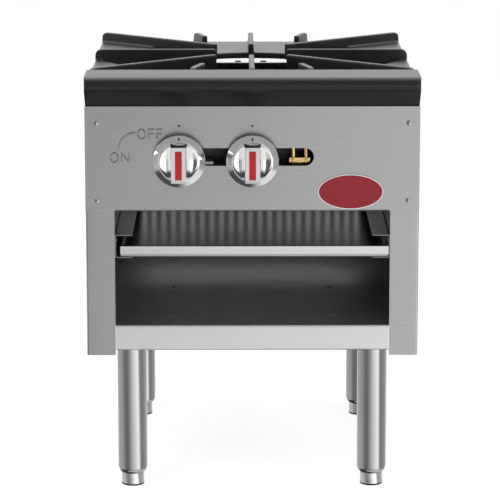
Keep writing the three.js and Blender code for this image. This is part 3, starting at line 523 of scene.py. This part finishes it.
stroke = 2.5  # width of the pressed lines
stroke_rise = 1.0
stroke_sunk = 0.1
stroke_steps = 8
on_heights, off_heights = (471.8, 487.0), (504.3, 519.6)
on_letters = ((-194.4, -181.5), (-179.1, -166.5))
off_letters = ((-157.1, -144.6), (-142.4, -133.4), (-131.6, -122.7))
f_bar_lift = 0.6  # how far an F's middle bar lies above its middle
f_bar_short = 1.2  # how much shorter it is than the top bar
turn_centre = (-159.0, 490.1)
turn_radii = (23.7, 24.0)


def ridge_sections(path, closed):
    """Cross-sections of a rounded ridge along a path of (x, z) points on the panel."""
    sections = []
    count = len(path)
    for i, (x, z) in enumerate(path):
        before = path[(i - 1) % count] if closed or i > 0 else path[i]
        after = path[(i + 1) % count] if closed or i < count - 1 else path[i]
        along = Vector((after[0] - before[0], after[1] - before[1])).normalized()
        section = []
        for k in range(stroke_steps + 1):
            turn = math.pi * k / stroke_steps
            across = -math.cos(turn) * stroke / 2
            depth = stroke_sunk - math.sin(turn) * stroke_rise
            section.append(at(x - along.y * across, depth, z + along.x * across))
        sections.append(section)
    return sections


def lettering(name, strokes):
    """One piece of all the ridges of a word; strokes are (path, closed)."""
    vertices, faces = [], []
    for path, closed in strokes:
        part, rings = numbered(ridge_sections(path, closed))
        first = len(vertices)
        vertices += part
        if closed:
            rings.append(rings[0])
        faces += [[first + n for n in face] for face in bridged(rings, closed_ends=not closed)]
    piece_from(name, vertices, faces, letter_steel_painted_shade, angle=50.0)


def letter_o(left, right, bottom, top):
    trim = stroke / 2
    x, z = (left + right) / 2, (bottom + top) / 2
    loop = arc(x, z, (right - left) / 2 - trim, (top - bottom) / 2 - trim, 0, 360, 33)
    return [(loop[:-1], True)]


def letter_n(left, right, bottom, top):
    trim = stroke / 2
    left, right, bottom, top = left + trim, right - trim, bottom + trim, top - trim
    return [
        ([(left, bottom), (left, top)], False),
        ([(left, top), (right, bottom)], False),
        ([(right, bottom), (right, top)], False),
    ]


def letter_f(left, right, bottom, top):
    trim = stroke / 2
    left, bottom, top = left + trim, bottom + trim, top - trim
    middle = (bottom + top) / 2 + f_bar_lift
    return [
        ([(left, bottom), (left, top)], False),
        ([(left - trim, top), (right, top)], False),
        ([(left, middle), (right - f_bar_short, middle)], False),
    ]


def word(name, letters, places, heights):
    """A word from its letters, the left and right of each, and the bottom and top of all."""
    strokes = []
    for letter, place in zip(letters, places):
        strokes += letter(*place, *heights)
    lettering(name, strokes)


word("on_lettering", (letter_o, letter_n), on_letters, on_heights)
word("off_lettering", (letter_o, letter_f, letter_f), off_letters, off_heights)
lettering("turn_arc", [(arc(*turn_centre, *turn_radii, 90, 180, 19), False)])

# ------------------------------------------------------------ badge

badge_low, badge_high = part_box("badge")
badge_centre = (badge_low + badge_high) / 2
badge_centre.y = panel_face
badge_half = ((badge_high - badge_low) / 2) / mm
# The badge's outlines are (inset from its edge, depth). Its two raised lines end at these insets: the outer
# black line is a painted shadow round the badge's edge, and the inner one is its white ring.
painted_shadow_inset, pale_line = 0.25, 1.7
badge_root, badge_crown = -0.3, -1.8
# Painted shadow: a thin black ring along the badge's outer edge.
painted_shadow_outline = [
    (0, badge_root), (0, -1.0), (0.1, -1.2), (painted_shadow_inset, -1.3), (painted_shadow_inset, badge_root),
]
pale_outline = [
    (painted_shadow_inset, badge_root), (painted_shadow_inset, -1.3), (0.9, -1.5), (pale_line, -1.3), (pale_line, badge_root),
]
field_outline = [
    (pale_line, badge_root), (pale_line, -1.2), (2.5, -1.3), (6.0, -1.45), (12.0, -1.65), (20.0, -1.75),
]


def oval(inset, depth, segments=96):
    """An oval section of the badge, inset from its edge."""
    section = []
    for k in range(segments):
        turn = 2 * math.pi * k / segments
        x, z = (badge_half.x - inset) * math.cos(turn), (badge_half.z - inset) * math.sin(turn)
        section.append(beside(badge_centre, x, depth, z))
    return section


def oval_ring(name, outline, material):
    """A ring of the badge from its closed outline."""
    vertices, rings = numbered([oval(inset, depth) for inset, depth in outline])
    faces = bridged(rings + rings[:1], closed_ends=False)
    piece_from(name, vertices, faces, material)


def badge_field():
    """The crowned red face inside the pale line."""
    sections = [oval(inset, depth) for inset, depth in field_outline]
    sections.append([beside(badge_centre, 0, badge_crown, 0)])
    vertices, rings = numbered(sections)
    field = piece_from("badge_face", vertices, bridged(rings), badge_red, angle=60.0)
    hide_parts("badge")


# Painted shadow: a thin black ring round the badge's edge.
oval_ring("badge_painted_shadow", painted_shadow_outline, ink)
oval_ring("badge_edge", pale_outline, badge_white)
badge_field()

# ------------------------------------------------------------ screws, fasteners and foot pads

screw_head = [
    (0, -0.2), (3.4, -0.2), (3.6, -0.4), (3.55, -0.8), (3.1, -1.25), (2.3, -1.6), (1.2, -1.85), (0, -1.9),
]
cross_half = 1.7
cross_width = 0.7
cross_bottom, cross_top = -1.23, -1.93
fastener = [(0, -0.3), (3.4, -0.3), (3.4, 0.1), (3.0, 0.6), (1.8, 0.95), (0, 1.05)]
fastener_depths = (69.0, 251.0, 431.0)
fastener_columns = (-199.0, -114.5, 114.5, 199.0)
pad = [(0, 0.0), (14.6, 0.0), (15.6, 0.5), (15.95, 1.2), (15.95, 2.6), (15.2, 2.8), (0, 2.8)]


def painted_recess_shade(name, centre):
    """A black cross on a screw's head: painted shade standing in for its cross recess."""
    a, b = cross_width / 2, cross_half
    outline = [
        (b, -a), (b, a), (a, a), (a, b), (-a, b), (-a, a),
        (-b, a), (-b, -a), (-a, -a), (-a, -b), (a, -b), (a, -a),
    ]
    sections = [[beside(centre, x, depth, z) for x, z in outline] for depth in (cross_bottom, cross_top)]
    vertices, rings = numbered(sections)
    piece_from(name, vertices, bridged(rings), ink)


for number, screw in enumerate(screws, 1):
    low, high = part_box(screw)
    middle = (low + high) / 2
    middle.y = panel_face
    head = turned(f"panel_screw_head_{number}", screw_head, middle, "Y", 32, screw_steel,
                  angle=60.0)
    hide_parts(screw)
    # Painted shade: a black cross on each head stands in for its cross recess.
    painted_recess_shade(f"panel_screw_painted_recess_shade_{number}", middle)

for row, depth in enumerate(fastener_depths):
    for column, x in enumerate(fastener_columns):
        turned(f"shelf_fastener_{row}_{column}", fastener, at(x, depth, shelf_top), "Z", 24, screw_steel,
               angle=60.0)

for foot in feet:
    low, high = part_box(foot)
    middle = (low + high) / 2
    middle.z = 0
    turned(f"{foot}_pad", pad, middle, "Z", 48, rubber, foot)

# ------------------------------------------------------------ front rail

rail_low, rail_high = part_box("front_rail")
nose_radius = 11.0
rail_corner = 6.0
rail_steps = 8
rail_edge = 1.0
rail_foot = 0.5


def rail_outline():
    """The rail's section as (depth, z): flat top, round nose and a lower face that slants to the panel."""
    fore, rear = [(corner.y - panel_face) / mm for corner in (rail_low, rail_high)]
    bottom, top = rail_low.z / mm, rail_high.z / mm
    nose = Vector((fore + nose_radius, top - nose_radius))
    foot = Vector((rail_foot, bottom))
    to_nose = nose - foot
    last = math.degrees(math.atan2(to_nose.y, to_nose.x) + math.asin(nose_radius / to_nose.length)) + 90
    points = [
        (rear, bottom), (rear, top - rail_edge),
        (rear - 0.3 * rail_edge, top - 0.3 * rail_edge), (rear - rail_edge, top),
    ]
    points += arc(nose.x, nose.y, nose_radius, nose_radius, 90, last, 28)
    return points + [(foot.x - 0.25, bottom + 0.5), (foot.x + 0.4, bottom)]


def front_rail():
    """The rail from end to end, with the upright corners of its front rounded."""
    half = rail_high.x / mm
    foremost = (rail_low.y - panel_face) / mm
    places = []
    for k in range(rail_steps + 1):
        turn = math.pi / 2 * k / rail_steps
        places.append((half - rail_corner + rail_corner * math.sin(turn), rail_corner * (1 - math.cos(turn))))
    places = [(-x, setback) for x, setback in reversed(places)] + places
    sections = [
        [at(x, max(depth, foremost + setback), z) for depth, z in rail_outline()]
        for x, setback in places
    ]
    vertices, rings = numbered(sections)
    rail = piece_from("smooth_rail", vertices, bridged(rings), enamel, angle=35.0)
    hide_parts("front_rail")


front_rail()

# ------------------------------------------------------------ grate

grate_cell = 1.4
grate_passes = 6
grate_share = 0.22  # of the remeshed faces that are kept


def cast_grate():
    """A copy of the grate with its edges and inner corners rounded, as moulded iron has them."""
    mesh = nodes["grate"].data.copy()
    built = bmesh.new()
    built.from_mesh(mesh)
    bmesh.ops.remove_doubles(built, verts=built.verts, dist=weld_distance * mm)
    built.to_mesh(mesh)
    built.free()
    mesh.normals_split_custom_set([(0, 0, 0)] * len(mesh.loops))
    piece = bpy.data.objects.new("cast_grate", mesh)
    bpy.context.scene.collection.objects.link(piece)
    remesh = piece.modifiers.new("remesh", "REMESH")
    remesh.mode = "VOXEL"
    remesh.voxel_size = grate_cell * mm
    relax = piece.modifiers.new("relax", "SMOOTH")
    relax.factor = 0.5
    relax.iterations = grate_passes
    thin = piece.modifiers.new("thin", "DECIMATE")
    thin.ratio = grate_share
    bpy.context.view_layer.update()
    done = bpy.data.meshes.new_from_object(piece.evaluated_get(bpy.context.evaluated_depsgraph_get()))
    bpy.data.objects.remove(piece)
    done.name = "cast_grate"
    made = linked("cast_grate", done, cast_iron, "grate")
    smooth(made, 55.0)
    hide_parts("grate")


cast_grate()

# ------------------------------------------------------------ camera, light and floor

# Brightness of the studio round the part: degrees from the viewer, right positive, and level.
left_half = [(-180, 1.0), (-165, 1.0), (-150, 0.8), (-130, 0.65), (-100, 0.6), (-84, 0.6), (-70, 0.36)]
right_half = [(56, 1.1), (64, 0.38), (84, 0.38), (106, 0.46), (130, 0.62), (150, 0.8), (165, 1.0), (180, 1.0)]
studio_high = left_half + [
    (-47, 0.42), (-30, 0.4), (-22, 0.18), (-16, 0.11), (-12, 0.18), (-6, 0.42), (-3.3, 0.6), (0, 0.86),
    (3.3, 1.18), (8, 1.38), (15, 1.5), (30, 1.7), (47, 2.0),
] + right_half
studio_low = left_half + [
    (-47, 0.2), (-37, 0.24), (-30, 0.33), (-20, 0.52), (-12, 0.7), (-4, 0.84), (4, 0.95), (12, 1.08),
    (20, 1.2), (29, 1.36), (37, 1.5), (46, 1.75),
] + right_half
studio_full = 2.0  # the ramps' colours stop at 1, so they are divided by this

# The rest of the studio, by the direction (x, y, z) that a mirror looks in.
low_to_high = (-0.24, -0.19)  # z, where the lower ring gives way to the upper one
ground_to_ring = (-0.6, -0.4)  # z, where the ground gives way to the rings
ring_to_ceiling = (0.24, 0.5)  # z, where the rings give way to the ceiling
ground_levels = (-0.15, 0.45, 0.07, 0.8)  # two values of x and the levels there
ceiling_levels = (-0.4, 0.15, 0.36, 2.3)  # two values of y and the levels there
# Two bands reach round the viewer's side. Each is (from, to, softness) in z.
dark_band, dark_level = (0.0, 0.22, 0.04), 0.06
pale_band, pale_level = (-0.9, -0.66, 0.05), 0.9
viewer_side = (-0.55, -0.3)  # y, where both bands fade out
# An upright strip is (from, to, softness) in degrees, and the same in z.
strip_turns, strip_band, strip_level = (-70, -63, 1), (-0.06, 0.24, 0.02), 2.2
matt_level = 0.55  # what surfaces that don't mirror get

floor_half = 4.0
floor_grey = 0.4
floor_lift = 0.8  # brings the floor near white, to the camera alone

camera_place = at(-22.0, -3700.0, 1097.5)
camera_pitch, camera_turn = 78.59, -0.29
camera_sensor, camera_lens = 36.0, 197.86

lamp_target = (0, 0, 0.4)
lamps = {  # place and size in metres, power in watts
    "key": ((-1.6, -2.2, 2.4), (1.2, 1.2), 32.0),
    "fill": ((2.4, -2.0, 1.6), (1.5, 2.0), 28.0),
}


def stage_world():
    """A studio that only mirrors see: matt surfaces get an even light, and the camera sees white."""
    world = bpy.data.worlds.new("studio")
    bpy.context.scene.world = world
    world.use_nodes = True
    tree = world.node_tree
    tree.nodes.clear()
    new, link = tree.nodes.new, tree.links.new
    coordinates = new("ShaderNodeTexCoord")
    split = new("ShaderNodeSeparateXYZ")
    link(coordinates.outputs["Generated"], split.inputs[0])
    x, y, z = split.outputs["X"], split.outputs["Y"], split.outputs["Z"]

    def number(operation, *values):
        made = new("ShaderNodeMath")
        made.operation = operation
        for value, socket in zip(values, made.inputs):
            if isinstance(value, (int, float)):
                socket.default_value = value
            else:
                link(value, socket)
        return made.outputs[0]

    def span(value, start, end, low=0.0, high=1.0):
        """A level that runs from low to high as value runs from start to end."""
        ramp = new("ShaderNodeMapRange")
        ramp.interpolation_type = "SMOOTHSTEP"
        for key, setting in (("From Min", start), ("From Max", end), ("To Min", low), ("To Max", high)):
            ramp.inputs[key].default_value = setting
        link(value, ramp.inputs["Value"])
        return ramp.outputs["Result"]

    def mix(factor, a, b):
        part_a = number("MULTIPLY", a, number("SUBTRACT", 1.0, factor))
        return number("ADD", part_a, number("MULTIPLY", b, factor))

    def window(value, low, high, soft):
        """1 between low and high, and 0 outside them, with soft edges."""
        rise = span(value, low - soft, low + soft)
        fall = span(value, high - soft, high + soft, 1.0, 0.0)
        return number("MULTIPLY", rise, fall)

    azimuth = number("DIVIDE", number("ARCTAN2", x, number("MULTIPLY", y, -1.0)), 2 * math.pi)
    turn = number("ADD", azimuth, 0.5)

    def ring(levels):
        """The level at each azimuth, from a list of (degrees, level)."""
        ramp = new("ShaderNodeValToRGB")
        elements = ramp.color_ramp.elements
        while len(elements) < len(levels):
            elements.new(0.5)
        for element, (degrees, level) in zip(elements, levels):
            element.position = degrees / 360 + 0.5
            element.color = (*grey(level / studio_full), 1.0)
        link(turn, ramp.inputs["Fac"])
        return number("MULTIPLY", ramp.outputs["Color"], studio_full)

    around = mix(span(z, *low_to_high), ring(studio_low), ring(studio_high))
    seen = mix(span(z, *ground_to_ring), span(x, *ground_levels), around)
    seen = mix(span(z, *ring_to_ceiling), seen, span(y, *ceiling_levels))
    facing = number("SUBTRACT", 1.0, span(y, *viewer_side))
    seen = mix(number("MULTIPLY", window(z, *dark_band), facing), seen, dark_level)
    seen = mix(number("MULTIPLY", window(z, *pale_band), facing), seen, pale_level)
    upright = window(azimuth, *(degrees / 360 for degrees in strip_turns))
    seen = mix(number("MULTIPLY", upright, window(z, *strip_band)), seen, strip_level)
    rays = new("ShaderNodeLightPath")
    shiny = number("MAXIMUM", rays.outputs["Is Glossy Ray"], rays.outputs["Is Transmission Ray"])
    level = mix(rays.outputs["Is Camera Ray"], mix(shiny, matt_level, seen), 1.0)
    background = new("ShaderNodeBackground")
    background.inputs["Color"].default_value = (1.0, 1.0, 1.0, 1.0)
    link(level, background.inputs["Strength"])
    output = new("ShaderNodeOutputWorld")
    link(background.outputs[0], output.inputs[0])


def stage_floor():
    """A plain floor, which no mirror shows."""
    mesh = bpy.data.meshes.new("floor")
    half = floor_half
    corners = [(-half, -half, 0), (half, -half, 0), (half, half, 0), (-half, half, 0)]
    mesh.from_pydata(corners, [], [(0, 1, 2, 3)])
    floor = bpy.data.objects.new("floor", mesh)
    bpy.context.scene.collection.objects.link(floor)
    floor.visible_glossy = False
    made = Shader("floor", Roughness=0.9, Specular_IOR_Level=0.0, Base_Color=(*grey(floor_grey), 1.0),
                  Emission_Color=(1.0, 1.0, 1.0, 1.0))
    rays = made.node("ShaderNodeLightPath")
    made.feed("Emission Strength", made.math(rays.outputs["Is Camera Ray"], floor_lift, "MULTIPLY"))
    paint(floor, made.material)


def stage_lamp(name, place, size, power):
    data = bpy.data.lights.new(name, "AREA")
    data.shape = "RECTANGLE"
    data.size, data.size_y = size
    data.energy = power
    lamp = bpy.data.objects.new(name, data)
    lamp.location = place
    lamp.rotation_euler = (Vector(lamp_target) - Vector(place)).to_track_quat("-Z", "Y").to_euler()
    lamp.visible_glossy = False
    bpy.context.scene.collection.objects.link(lamp)


def stage_camera():
    data = bpy.data.cameras.new("camera")
    data.sensor_width = camera_sensor
    data.lens = camera_lens
    camera = bpy.data.objects.new("camera", data)
    camera.location = camera_place
    camera.rotation_euler = (math.radians(camera_pitch), 0.0, math.radians(camera_turn))
    bpy.context.scene.collection.objects.link(camera)
    bpy.context.scene.camera = camera


stage_world()
stage_floor()
stage_camera()
for name, settings in lamps.items():
    stage_lamp(name, *settings)
bpy.context.scene.view_settings.view_transform = "Standard"
